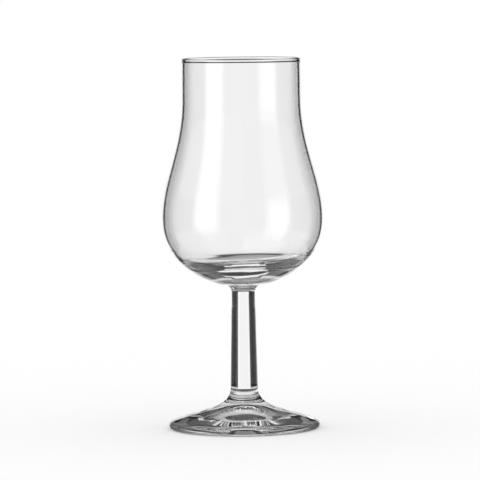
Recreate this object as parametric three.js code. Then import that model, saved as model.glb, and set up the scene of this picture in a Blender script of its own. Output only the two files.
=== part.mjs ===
// A clear, stemmed tulip glass for cognac.
// Units are millimetres, +Z is up, and the origin is the middle of the ring that the glass rests on.
// Foot, stem and bowl are three pieces of glass that meet face to face on one axis.

import * as THREE from 'three';

// Foot: a low cone with a full-round edge, which turns up into a boss under the stem.
const FOOT_DIAMETER = 54.5;
const FOOT_HEIGHT = 14.5;
const FOOT_EDGE_THICKNESS = 2.5;
const FOOT_CONE_ANGLE = 20.5;
const FOOT_CONE_PULL = 12.5;
const FOOT_BOSS_PULL = 6.7;
const RESTING_RING_WIDTH = 3;
const UNDERSIDE_HOLLOW = 5.5;
const HOLLOW_CROWN_PULL = 4.7;
const HOLLOW_SKIRT_PULL = 8;

// Stem: a solid rod, thinner towards the top, with a quarter round that spreads to meet the bowl.
const STEM_BASE_DIAMETER = 9.9;
const STEM_TOP_DIAMETER = 8.45;
const STEM_LENGTH = 37.75;
const STEM_FILLET = 3.05;

// Bowl, outside: rises from the stem to the belly, draws in over the shoulder, and runs up the neck.
const BELLY_DIAMETER = 58.45;
const BELLY_RISE = 24.1;
const NECK_DIAMETER = 43.15;
const SHOULDER_RISE = 43;
const RIM_DIAMETER = 42.9;
const NECK_RISE = 14.65;
const BASE_PULL = 2.5;
const BELLY_PULL_DOWN = 18.5;
const BELLY_PULL_UP = 13.6;
const NECK_PULL_DOWN = 17.4;

// Bowl, inside: a thin wall that turns in a round corner into a thick flat floor, and a bead that
// swells softly from the wall at the rim.
const NECK_WALL = 1;
const BELLY_WALL = 1;
const RIM_BEAD = 1.3;
const BEAD_FILLET = 2;
const FLOOR_THICKNESS = 8;
const FLOOR_RADIUS = 18;
const CORNER_PULL = 5;
const CAVITY_PULL = 10;

// Facets round the axis, along each free curve and along each arc.
const ROUND_STEPS = 48;
const CURVE_STEPS = 12;
const ARC_STEPS = 10;
const SAME_POINT = 1e-6;

const footRadius = FOOT_DIAMETER / 2;
const stemBaseRadius = STEM_BASE_DIAMETER / 2;
const stemTopRadius = STEM_TOP_DIAMETER / 2;
const bowlWeldRadius = stemTopRadius + STEM_FILLET;

// Points along a profile of (radius, height), each kind of curve with the steps that it needs.
function profilePoints(path) {
  const points = [path.curves[0].getPoint(0)];
  for (const curve of path.curves) {
    const steps = curve.isLineCurve ? 1 : curve.isEllipseCurve ? ARC_STEPS : CURVE_STEPS;
    for (let step = 1; step <= steps; step += 1) {
      const point = curve.getPoint(step / steps);
      if (point.distanceTo(points[points.length - 1]) > SAME_POINT) points.push(point);
    }
  }
  return points;
}

// A solid of revolution about +Z, from a profile that starts and ends on the axis.
function revolve(name, path, material) {
  const geometry = new THREE.LatheGeometry(profilePoints(path), ROUND_STEPS);
  geometry.rotateX(Math.PI / 2);
  const mesh = new THREE.Mesh(geometry, material);
  mesh.name = name;
  return mesh;
}

// Underside hollow that runs softly into a flat resting ring, round edge, cone, and boss up to the stem.
function footProfile() {
  const edgeRadius = FOOT_EDGE_THICKNESS / 2;
  const edgeCentre = footRadius - edgeRadius;
  const hollowRadius = edgeCentre - RESTING_RING_WIDTH;
  const coneAngle = THREE.MathUtils.degToRad(FOOT_CONE_ANGLE);
  const edgeEnd = Math.PI / 2 - coneAngle;
  const coneStart = new THREE.Vector2(
    edgeCentre + edgeRadius * Math.cos(edgeEnd),
    edgeRadius + edgeRadius * Math.sin(edgeEnd),
  );

  const path = new THREE.Path();
  path.moveTo(0, UNDERSIDE_HOLLOW);
  path.bezierCurveTo(
    HOLLOW_CROWN_PULL,
    UNDERSIDE_HOLLOW,
    hollowRadius - HOLLOW_SKIRT_PULL,
    0,
    hollowRadius,
    0,
  );
  path.lineTo(edgeCentre, 0);
  path.absarc(edgeCentre, edgeRadius, edgeRadius, -Math.PI / 2, edgeEnd, false);
  path.bezierCurveTo(
    coneStart.x - FOOT_CONE_PULL * Math.cos(coneAngle),
    coneStart.y + FOOT_CONE_PULL * Math.sin(coneAngle),
    stemBaseRadius,
    FOOT_HEIGHT - FOOT_BOSS_PULL,
    stemBaseRadius,
    FOOT_HEIGHT,
  );
  path.lineTo(0, FOOT_HEIGHT);
  return path;
}

// Weld face on the foot, tapered side, quarter round, and weld face under the bowl.
function stemProfile() {
  const filletStart = STEM_LENGTH - STEM_FILLET;
  const path = new THREE.Path();
  path.moveTo(0, 0);
  path.lineTo(stemBaseRadius, 0);
  path.lineTo(stemTopRadius, filletStart);
  path.absarc(bowlWeldRadius, filletStart, STEM_FILLET, Math.PI, Math.PI / 2, true);
  path.lineTo(0, STEM_LENGTH);
  return path;
}

// Weld face on the stem, outside up to the rim, filleted bead over the rim, and inside down to the floor.
function bowlProfile() {
  const bellyRadius = BELLY_DIAMETER / 2;
  const neckRadius = NECK_DIAMETER / 2;
  const neckHeight = BELLY_RISE + SHOULDER_RISE;
  const beadRadius = RIM_BEAD / 2;
  const beadCentre = new THREE.Vector2(
    (RIM_DIAMETER - NECK_WALL) / 2,
    neckHeight + NECK_RISE - beadRadius,
  );
  const filletReach = NECK_WALL / 2 + BEAD_FILLET;
  const filletTurn = Math.acos(filletReach / (beadRadius + BEAD_FILLET));
  const filletHeight = beadCentre.y - filletReach * Math.tan(filletTurn);
  const insideBelly = bellyRadius - BELLY_WALL;
  const insideNeck = neckRadius - NECK_WALL;

  const path = new THREE.Path();
  path.moveTo(0, 0);
  path.lineTo(bowlWeldRadius, 0);
  path.bezierCurveTo(
    bowlWeldRadius + BASE_PULL,
    0,
    bellyRadius,
    BELLY_RISE - BELLY_PULL_DOWN,
    bellyRadius,
    BELLY_RISE,
  );
  path.bezierCurveTo(
    bellyRadius,
    BELLY_RISE + BELLY_PULL_UP,
    neckRadius,
    neckHeight - NECK_PULL_DOWN,
    neckRadius,
    neckHeight,
  );
  path.absarc(beadCentre.x + filletReach, filletHeight, BEAD_FILLET, Math.PI, Math.PI - filletTurn, true);
  path.absarc(beadCentre.x, beadCentre.y, beadRadius, -filletTurn, Math.PI + filletTurn, false);
  path.absarc(beadCentre.x - filletReach, filletHeight, BEAD_FILLET, filletTurn, 0, true);
  path.lineTo(insideNeck, neckHeight);
  path.bezierCurveTo(
    insideNeck,
    neckHeight - NECK_PULL_DOWN,
    insideBelly,
    BELLY_RISE + BELLY_PULL_UP,
    insideBelly,
    BELLY_RISE,
  );
  path.bezierCurveTo(
    insideBelly,
    BELLY_RISE - CAVITY_PULL,
    FLOOR_RADIUS + CORNER_PULL,
    FLOOR_THICKNESS,
    FLOOR_RADIUS,
    FLOOR_THICKNESS,
  );
  path.lineTo(0, FLOOR_THICKNESS);
  return path;
}

function clearGlass() {
  return new THREE.MeshStandardMaterial({ color: 0xeef3f2, roughness: 0.04, metalness: 0 });
}

const foot = revolve('foot', footProfile(), clearGlass());

const stem = revolve('stem', stemProfile(), clearGlass());
stem.position.z = FOOT_HEIGHT;

const bowl = revolve('bowl', bowlProfile(), clearGlass());
bowl.position.z = FOOT_HEIGHT + STEM_LENGTH;

const glass = new THREE.Group();
glass.add(foot, stem, bowl);

export default glass;
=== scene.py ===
"""Looks of a clear cognac glass: three fused pieces of glass in a plain white studio."""

import math

import bmesh
import bpy
import numpy as np
from mathutils import Matrix, Vector, noise


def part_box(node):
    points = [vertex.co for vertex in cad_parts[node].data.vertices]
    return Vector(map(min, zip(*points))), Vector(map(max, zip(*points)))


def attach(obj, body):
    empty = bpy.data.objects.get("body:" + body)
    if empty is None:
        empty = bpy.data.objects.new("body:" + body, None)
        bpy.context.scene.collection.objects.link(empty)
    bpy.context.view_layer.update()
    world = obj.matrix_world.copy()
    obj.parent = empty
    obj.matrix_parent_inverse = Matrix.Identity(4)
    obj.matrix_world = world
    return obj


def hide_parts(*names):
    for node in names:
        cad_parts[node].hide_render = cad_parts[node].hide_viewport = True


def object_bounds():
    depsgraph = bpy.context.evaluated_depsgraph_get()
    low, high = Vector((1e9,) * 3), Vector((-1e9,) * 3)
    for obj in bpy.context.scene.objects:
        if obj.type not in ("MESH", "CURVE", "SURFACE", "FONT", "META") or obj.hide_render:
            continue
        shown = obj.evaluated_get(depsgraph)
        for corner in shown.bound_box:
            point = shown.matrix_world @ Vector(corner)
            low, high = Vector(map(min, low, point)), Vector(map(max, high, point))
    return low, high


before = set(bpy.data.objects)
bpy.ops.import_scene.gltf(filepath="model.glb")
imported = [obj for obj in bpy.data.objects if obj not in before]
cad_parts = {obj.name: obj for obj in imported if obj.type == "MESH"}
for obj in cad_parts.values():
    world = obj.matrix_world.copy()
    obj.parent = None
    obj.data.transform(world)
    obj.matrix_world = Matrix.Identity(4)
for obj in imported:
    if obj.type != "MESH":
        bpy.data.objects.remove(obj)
cad_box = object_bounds()

WHITE = (1, 1, 1, 1)

# Meshes, finer than the frame's facets. Lengths are in metres here and below.
SEGMENTS = 160
ROWS_PER_FACET = 5
LONGEST_FACET = 0.006
SAME_POINT = 1e-6
SAME_SIDE = 1e-3
CORNER = math.radians(45)
CREASE = math.radians(30)

# Inner floor of the bowl, a shallow dish. Its curve starts on the lower wall, at DISH_HEIGHT above the
# frame's flat floor, and ends at its middle, DISH_SAG below it. The pulls are the curve's handles.
DISH_HEIGHT = 0.0047
DISH_SAG = 0.0005
DISH_WALL_PULL = 0.006
DISH_FLOOR_PULL = 0.019
DISH_ROWS = 90

# Lean of the dish, in degrees, and the height above its middle at which it dies out.
LEAN_SIDE = 1.4
LEAN_BACK = 1.0
LEAN_HEIGHT = 0.005

# Ripples of hand-made glass. On the dish they die out at a height above its middle. On the foot they
# fade to nothing at the table and at the stem, over two shares of the foot's height.
DISH_RIPPLE = 0.00004
DISH_RIPPLE_SIZE = 0.006
DISH_RIPPLE_HEIGHT = 0.001
FOOT_RIPPLE = 0.00005
FOOT_RIPPLE_SIZE = 0.007
FOOT_FADE_LOW = 1 / 6
FOOT_FADE_HIGH = 1 / 3

# Glass: its index of refraction, faint cords that bend its surface, and patches of slight roughness.
GLASS_IOR = 1.52
CORD_SIZE = 0.009
CORD_DEPTH = 0.000004
CORD_DETAIL = 1
HAZE = 0.004
HAZE_SIZE = 0.0025
HAZE_DETAIL = 3

# Camera, from the outline of the glass in the photo: metres, degrees and millimetres of film.
CAMERA_DISTANCE = 1.4
CAMERA_HEIGHT = 0.1699
CAMERA_SIDE = -0.001
AIM_HEIGHT = 0.0682
CAMERA_ROLL = -0.594
FILM_WIDTH = 36.0
FOCAL_LENGTH = 290.9

# Edges in the studio as the glass sees it, in degrees. Azimuth counts to both sides from straight
# behind the glass. The dark flags are what LIGHTS leaves between the backdrop and the walls.
BACKDROP = 19.5
SIDE_WALL = 60
SOFTBOX = 106
FRONT = 143
CEILING = 38
HORIZON = -14
FLAG_FOOT = -26
UNDERFOOT = -50
ENDLESS = 400

# What glass sees: SHADE, and on it these lights, each with its left and right edge and the fade there,
# its lower and upper edge and the fade there, and its strength.
SHADE = 0.01
LIGHTS = {
    "backdrop": (-BACKDROP, BACKDROP, 2, HORIZON, 9, 3, 0.92),
    "band over the backdrop": (-BACKDROP, BACKDROP, 2, 22, CEILING, 4, 0.2),
    "table before the backdrop": (-14, 14, 4, -32, HORIZON, 4, 0.85),
    "left wall": (-SOFTBOX, -SIDE_WALL, 4, HORIZON, CEILING, 4, 0.3),
    "right wall": (SIDE_WALL, SOFTBOX, 4, HORIZON, CEILING, 4, 0.2),
    "left softbox": (-FRONT, -SOFTBOX, 12, HORIZON, CEILING, 16, 2.0),
    "right softbox": (SOFTBOX, FRONT, 12, HORIZON, CEILING, 16, 0.9),
    "front wall, left half": (-ENDLESS, -FRONT, 4, HORIZON, CEILING, 4, 0.6),
    "front wall, right half": (FRONT, ENDLESS, 4, HORIZON, CEILING, 4, 0.45),
    "ceiling, left": (-ENDLESS, -90, 4, CEILING, ENDLESS, 4, 0.9),
    "ceiling, right": (90, ENDLESS, 4, CEILING, ENDLESS, 4, 0.4),
    "ground, left": (-ENDLESS, -SIDE_WALL, 4, UNDERFOOT, HORIZON, 4, 0.6),
    "ground, right": (SIDE_WALL, ENDLESS, 4, UNDERFOOT, HORIZON, 4, 0.6),
    "ground under the left flag": (-SIDE_WALL, -BACKDROP, 2, UNDERFOOT, FLAG_FOOT, 4, 0.6),
    "ground under the right flag": (BACKDROP, SIDE_WALL, 2, UNDERFOOT, FLAG_FOOT, 4, 0.6),
    "ground underfoot": (-ENDLESS, ENDLESS, 4, -ENDLESS, UNDERFOOT, 8, 0.6),
}

# A ray that crossed just as many surfaces as one or two thin walls have, and was never reflected, sees
# CLEAR, so that the bowl looks clear from every side. For each number of walls: the lower and upper
# edge of where that holds and the fade there, in degrees.
CLEAR = 0.94
CLEAR_WALLS = {
    1: (FLAG_FOOT, -10, 4),
    2: (FLAG_FOOT, ENDLESS, 4),
}
SURFACES_PER_WALL = 2
SAME_COUNT = 0.5

# Floor: a white disc just under the resting ring. Glass doesn't see it lit: up to FLOOR_NEAR from the
# axis it sees a painted glow in its place, and the studio from FLOOR_FAR on. The glow is painted shade
# along the floor, dark as the shade under the foot, and pale from above, and the two mix where the
# cosine between ray and upright is from STEEP_START to STEEP_END.
FLOOR_RADIUS = 1.5
FLOOR_SEGMENTS = 96
FLOOR_GAP = 0.0001
FLOOR_NEAR = 0.065
FLOOR_FAR = 0.078
# Strengths of the painted glow: painted shade seen along the floor, and pale seen from above.
FLOOR_PAINTED_SHADE_ALONG = 0.08
FLOOR_PAINTED_GLOW_FROM_ABOVE = 0.85
STEEP_START = 0.42
STEEP_END = 0.72

# Bounces, enough for light that crosses many glass surfaces.
GLASS_BOUNCES = 32
MIRROR_BOUNCES = 16
CLEAR_BOUNCES = 64


# Reading the frame

def meridian(node):
    """The node's outline from axis to axis, as (radius, height) points in metres."""
    shape = bmesh.new()
    shape.from_mesh(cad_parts[node].data)
    bmesh.ops.remove_doubles(shape, verts=shape.verts, dist=SAME_POINT)
    ends = [v for v in shape.verts if v.co.xy.length < SAME_POINT]
    here = min(ends, key=lambda v: (abs(v.normal.z + 1), v.co.z))
    line = [here]
    here = here.link_edges[0].other_vert(here)
    side = here.co.xy.normalized()
    while here not in ends:
        line.append(here)
        beside = [e.other_vert(here) for e in here.link_edges]
        here = next(
            v for v in beside
            if v not in line[-2:] and (v in ends or (v.co.xy.normalized() - side).length < SAME_SIDE)
        )
    line.append(here)
    points = np.array([(v.co.xy.length, v.co.z) for v in line])
    shape.free()
    return points


def split_at_corners(points):
    """Runs of points with no corner inside, each run starting where the one before it ends."""
    step = np.diff(points, axis=0)
    heading = np.unwrap(np.arctan2(step[:, 1], step[:, 0]))
    corners = np.where(np.abs(np.diff(heading)) > CORNER)[0] + 1
    bounds = [0, *corners, len(points) - 1]
    return [points[a:b + 1] for a, b in zip(bounds, bounds[1:])]


def shorten_facets(points):
    """The same line with points added on its long straight stretches."""
    line = [points[0]]
    for a, b in zip(points, points[1:]):
        count = math.ceil(np.linalg.norm(b - a) / LONGEST_FACET)
        line += [a + (b - a) * i / count for i in range(1, count + 1)]
    return np.array(line)


def cubic_spline(points):
    """A smooth line through the points: a natural cubic spline over the length along them."""
    if len(points) < 3:
        return points
    at = np.r_[0, np.cumsum(np.linalg.norm(np.diff(points, axis=0), axis=1))]
    gap = np.diff(at)
    system = np.eye(len(points))
    change = np.zeros_like(points)
    slope = np.diff(points, axis=0) / gap[:, None]
    for i in range(1, len(points) - 1):
        system[i, i - 1:i + 2] = gap[i - 1], 2 * (gap[i - 1] + gap[i]), gap[i]
        change[i] = 6 * (slope[i] - slope[i - 1])
    bend = np.linalg.solve(system, change)
    line = [points[0]]
    for i, width in enumerate(gap):
        for t in np.arange(1, ROWS_PER_FACET + 1) / ROWS_PER_FACET:
            u = 1 - t
            line.append(
                u * points[i] + t * points[i + 1]
                + ((u ** 3 - u) * bend[i] + (t ** 3 - t) * bend[i + 1]) * width ** 2 / 6
            )
    return np.array(line)


def smooth_outline(node):
    """The node's outline with every curve made smooth and its corners kept."""
    runs = [cubic_spline(shorten_facets(run)) for run in split_at_corners(meridian(node))]
    return np.concatenate([runs[0]] + [run[1:] for run in runs[1:]])


# Building the pieces

def dished(outline):
    """The bowl's outline with its inner floor and the wall's lower end drawn as one cubic curve."""
    floor = outline[-1][1]
    wall = len(outline) - 1
    while outline[wall][1] < floor + DISH_HEIGHT:
        wall -= 1
    start = outline[wall]
    along = outline[wall + 1] - outline[wall - 1]
    below_start = start + along / np.linalg.norm(along) * DISH_WALL_PULL
    middle = np.array((0, floor - DISH_SAG))
    beside_middle = middle + (DISH_FLOOR_PULL, 0)
    t = np.linspace(0, 1, DISH_ROWS)[:, None]
    u = 1 - t
    curve = (
        u ** 3 * start + 3 * u ** 2 * t * below_start
        + 3 * u * t ** 2 * beside_middle + t ** 3 * middle
    )
    return np.concatenate([outline[:wall], curve])


def revolve(name, outline, uneven):
    """A closed mesh of revolution; uneven(point, inside) moves a vertex a little, as hot glass sags."""
    shape = bmesh.new()
    top = int(np.argmax(outline[:, 1]))
    rows = []
    for place, (radius, height) in enumerate(outline):
        count = 1 if radius < SAME_POINT else SEGMENTS
        row = []
        for i in range(count):
            turn = 2 * math.pi * i / SEGMENTS
            point = Vector((radius * math.cos(turn), radius * math.sin(turn), height))
            row.append(shape.verts.new(uneven(point, place > top)))
        rows.append(row)
    for low, high in zip(rows, rows[1:]):
        for i in range(SEGMENTS):
            j = (i + 1) % SEGMENTS
            corners = [low[i % len(low)], low[j % len(low)], high[j % len(high)], high[i % len(high)]]
            shape.faces.new(list(dict.fromkeys(corners))).smooth = True
    bmesh.ops.recalc_face_normals(shape, faces=shape.faces)
    mesh = bpy.data.meshes.new(name)
    shape.to_mesh(mesh)
    shape.free()
    mesh.set_sharp_from_angle(angle=CREASE)
    piece = bpy.data.objects.new(name, mesh)
    bpy.context.scene.collection.objects.link(piece)
    return piece


def true_shape(point, inside):
    """No unevenness: the stem is a smooth rod."""
    return point


def uneven_dish(middle):
    """Unevenness of the bowl: its dish leans and ripples, and the rest stays true."""
    side = math.tan(math.radians(LEAN_SIDE))
    back = math.tan(math.radians(LEAN_BACK))

    def move(point, inside):
        if not inside:
            return point
        up = max(0, point.z - middle)
        near = max(0, 1 - up / LEAN_HEIGHT)
        lean = (point.x * side + point.y * back) * near ** 2 * (3 - 2 * near)
        ripple = noise.noise(point / DISH_RIPPLE_SIZE) * DISH_RIPPLE
        ripple *= max(0, 1 - up / DISH_RIPPLE_HEIGHT)
        return point + Vector((0, 0, lean + ripple))
    return move


def rippled_foot(low, high):
    """Unevenness of the foot: shallow ripples on its top and underside, none on the resting ring."""
    def move(point, inside):
        share = (point.z - low) / (high - low)
        fade = min(1, share / FOOT_FADE_LOW) * min(1, (1 - share) / FOOT_FADE_HIGH)
        ripple = noise.noise(point / FOOT_RIPPLE_SIZE) * FOOT_RIPPLE
        return point + Vector((0, 0, ripple * fade))
    return move


def mark_weld_faces(piece, heights, weld):
    """Gives the flat faces where two pieces are fused the weld material, which is no surface at all."""
    mesh = piece.data
    mesh.materials.append(weld)
    for face in mesh.polygons:
        z = [mesh.vertices[v].co.z for v in face.vertices]
        if any(max(abs(value - height) for value in z) < SAME_POINT for height in heights):
            face.material_index = 1


# Shader nodes

def empty_tree(owner):
    """The node tree of a material or a world, with nothing in it."""
    owner.use_nodes = True
    owner.node_tree.nodes.clear()
    return owner.node_tree


def end_in(tree, kind, shader):
    """Ends the tree in an output of the given kind, with the shader as its surface."""
    output = tree.nodes.new(kind)
    tree.links.new(shader.outputs[0], output.inputs["Surface"])


def calc(tree, operation, *values):
    """A math node on sockets or numbers; returns its output."""
    node = tree.nodes.new("ShaderNodeMath")
    node.operation = operation
    for socket, value in zip(node.inputs, values):
        if isinstance(value, bpy.types.NodeSocket):
            tree.links.new(value, socket)
        else:
            socket.default_value = value
    return node.outputs[0]


def rise(tree, value, start, end):
    """0 before start and 1 after end, with a smooth step between them."""
    node = tree.nodes.new("ShaderNodeMapRange")
    node.interpolation_type = "SMOOTHSTEP"
    tree.links.new(value, node.inputs["Value"])
    node.inputs["From Min"].default_value = start
    node.inputs["From Max"].default_value = end
    return node.outputs["Result"]


def between(tree, value, low, high, fade):
    """1 between low and high, fading to 0 at both ends."""
    up = rise(tree, value, low - fade / 2, low + fade / 2)
    down = rise(tree, value, high - fade / 2, high + fade / 2)
    return calc(tree, "SUBTRACT", up, down)


def blend(tree, share, first, second):
    """The first value where share is 0, the second where it is 1, and a mix of them between."""
    return calc(tree, "MULTIPLY_ADD", share, calc(tree, "SUBTRACT", second, first), first)


def mix_shaders(tree, share, first, second):
    """A mix of two shaders, the second of them with the given share."""
    mix = tree.nodes.new("ShaderNodeMixShader")
    tree.links.new(share, mix.inputs[0])
    tree.links.new(first.outputs[0], mix.inputs[1])
    tree.links.new(second.outputs[0], mix.inputs[2])
    return mix


def noise_texture(tree, size, detail):
    """A noise over the object's own space with blotches of the given size; returns its value."""
    place = tree.nodes.new("ShaderNodeTexCoord")
    texture = tree.nodes.new("ShaderNodeTexNoise")
    texture.inputs["Scale"].default_value = 1 / size
    texture.inputs["Detail"].default_value = detail
    tree.links.new(place.outputs["Object"], texture.inputs["Vector"])
    return texture.outputs["Fac"]


def seen_by_glass(tree):
    """1 for a ray that comes from glass, 0 for the camera's own rays and for light on the floor."""
    ray = tree.nodes.new("ShaderNodeLightPath")
    return calc(tree, "MAXIMUM", ray.outputs["Is Glossy Ray"], ray.outputs["Is Transmission Ray"])


def through_walls(tree, walls):
    """1 for a ray that crossed as many surfaces as that number of walls has, and was never reflected."""
    ray = tree.nodes.new("ShaderNodeLightPath")
    surfaces = walls * SURFACES_PER_WALL
    crossed = calc(tree, "COMPARE", ray.outputs["Transmission Depth"], surfaces, SAME_COUNT)
    straight = calc(tree, "LESS_THAN", ray.outputs["Glossy Depth"], SAME_COUNT)
    return calc(tree, "MULTIPLY", crossed, straight)


# Materials

def glass_material(name):
    """Clear glass with faint cords that bend its surface and a trace of haze in patches."""
    material = bpy.data.materials.new(name)
    material.use_nodes = True
    tree = material.node_tree
    glass = tree.nodes["Principled BSDF"]
    glass.inputs["Base Color"].default_value = WHITE
    glass.inputs["IOR"].default_value = GLASS_IOR
    glass.inputs["Transmission Weight"].default_value = 1
    bump = tree.nodes.new("ShaderNodeBump")
    bump.inputs["Strength"].default_value = 1
    bump.inputs["Distance"].default_value = CORD_DEPTH
    tree.links.new(noise_texture(tree, CORD_SIZE, CORD_DETAIL), bump.inputs["Height"])
    tree.links.new(bump.outputs["Normal"], glass.inputs["Normal"])
    haze = calc(tree, "MULTIPLY", noise_texture(tree, HAZE_SIZE, HAZE_DETAIL), HAZE)
    tree.links.new(haze, glass.inputs["Roughness"])
    return material


def weld_material():
    """Fused glass has no surface inside it, so light passes straight through."""
    material = bpy.data.materials.new("weld")
    tree = empty_tree(material)
    end_in(tree, "ShaderNodeOutputMaterial", tree.nodes.new("ShaderNodeBsdfTransparent"))
    return material


def floor_material():
    """White floor; glass sees a painted glow close to the foot, painted shade along the floor and pale
    from above, and the studio beyond.
    """
    material = bpy.data.materials.new("floor")
    tree = empty_tree(material)
    place = tree.nodes.new("ShaderNodeTexCoord").outputs["Object"]
    distance = tree.nodes.new("ShaderNodeVectorMath")
    distance.operation = "LENGTH"
    tree.links.new(place, distance.inputs[0])
    far = rise(tree, distance.outputs["Value"], FLOOR_NEAR, FLOOR_FAR)
    facing = tree.nodes.new("ShaderNodeLayerWeight").outputs["Facing"]
    steep = rise(tree, calc(tree, "SUBTRACT", 1, facing), STEEP_START, STEEP_END)
    # Painted glow for glass: an emission, dark along the floor as painted shade under the foot, pale
    # from above.
    painted_glow = tree.nodes.new("ShaderNodeEmission")
    tree.links.new(blend(tree, steep, FLOOR_PAINTED_SHADE_ALONG, FLOOR_PAINTED_GLOW_FROM_ABOVE), painted_glow.inputs["Strength"])
    clear = tree.nodes.new("ShaderNodeBsdfTransparent")
    pale = tree.nodes.new("ShaderNodeBsdfDiffuse")
    pale.inputs["Color"].default_value = WHITE
    in_glass = mix_shaders(tree, far, painted_glow, clear)
    end_in(tree, "ShaderNodeOutputMaterial", mix_shaders(tree, seen_by_glass(tree), pale, in_glass))
    return material


# Studio

def studio():
    """White for the camera; glass sees the lights and the dark flags, and white through thin walls."""
    world = bpy.data.worlds.new("studio")
    bpy.context.scene.world = world
    tree = empty_tree(world)
    direction = tree.nodes.new("ShaderNodeTexCoord").outputs["Generated"]
    split = tree.nodes.new("ShaderNodeSeparateXYZ")
    tree.links.new(direction, split.inputs[0])
    x, y, z = split.outputs
    azimuth = calc(tree, "DEGREES", calc(tree, "ARCTAN2", x, y))
    elevation = calc(tree, "DEGREES", calc(tree, "ARCSINE", z))

    light = SHADE
    for left, right, side_fade, low, high, fade, strength in LIGHTS.values():
        wide = between(tree, azimuth, left, right, side_fade)
        tall = between(tree, elevation, low, high, fade)
        light = calc(tree, "MULTIPLY_ADD", calc(tree, "MULTIPLY", wide, tall), strength, light)
    for walls, (low, high, fade) in CLEAR_WALLS.items():
        tall = between(tree, elevation, low, high, fade)
        clear = calc(tree, "MULTIPLY", tall, through_walls(tree, walls))
        light = blend(tree, clear, light, CLEAR)

    background = tree.nodes.new("ShaderNodeBackground")
    background.inputs["Color"].default_value = WHITE
    tree.links.new(blend(tree, seen_by_glass(tree), 1, light), background.inputs["Strength"])
    end_in(tree, "ShaderNodeOutputWorld", background)


def floor():
    """A white round floor under the glass."""
    shape = bmesh.new()
    bmesh.ops.create_circle(shape, cap_ends=True, segments=FLOOR_SEGMENTS, radius=FLOOR_RADIUS)
    mesh = bpy.data.meshes.new("floor")
    shape.to_mesh(mesh)
    shape.free()
    mesh.materials.append(floor_material())
    plate = bpy.data.objects.new("floor", mesh)
    plate.location.z = cad_box[0][2] - FLOOR_GAP
    bpy.context.scene.collection.objects.link(plate)


def camera():
    """The photo's viewpoint: a long lens from a little above the glass, rolled as the glass leans."""
    data = bpy.data.cameras.new("camera")
    data.sensor_fit = "HORIZONTAL"
    data.sensor_width = FILM_WIDTH
    data.lens = FOCAL_LENGTH
    viewer = bpy.data.objects.new("camera", data)
    bpy.context.scene.collection.objects.link(viewer)
    place = Matrix.Translation((CAMERA_SIDE, -CAMERA_DISTANCE, CAMERA_HEIGHT))
    pitch = math.atan2(CAMERA_HEIGHT - AIM_HEIGHT, CAMERA_DISTANCE)
    level = Matrix.Rotation(math.pi / 2 - pitch, 4, "X")
    roll = Matrix.Rotation(math.radians(CAMERA_ROLL), 4, "Z")
    viewer.matrix_world = place @ level @ roll
    bpy.context.scene.camera = viewer


def light_paths():
    """Lets light cross every surface of the glass."""
    cycles = bpy.context.scene.cycles
    cycles.max_bounces = GLASS_BOUNCES
    cycles.transmission_bounces = GLASS_BOUNCES
    cycles.glossy_bounces = MIRROR_BOUNCES
    cycles.transparent_max_bounces = CLEAR_BOUNCES


# The glass

def glass():
    """The three pieces, each in the place of its node."""
    stem_low, stem_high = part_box("stem")
    foot_low, foot_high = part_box("foot")
    outlines = {node: smooth_outline(node) for node in ("foot", "stem", "bowl")}
    outlines["bowl"] = dished(outlines["bowl"])
    uneven = {
        "foot": rippled_foot(foot_low.z, foot_high.z),
        "stem": true_shape,
        "bowl": uneven_dish(outlines["bowl"][-1][1]),
    }
    weld = weld_material()
    for node, outline in outlines.items():
        piece = revolve(node + "_piece", outline, uneven[node])
        piece.data.materials.append(glass_material(node + "_glass_look"))
        mark_weld_faces(piece, (stem_low.z, stem_high.z), weld)
        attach(piece, "root")
        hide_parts(node)


glass()
floor()
studio()
camera()
light_paths()
bpy.context.scene.view_settings.view_transform = "Standard"
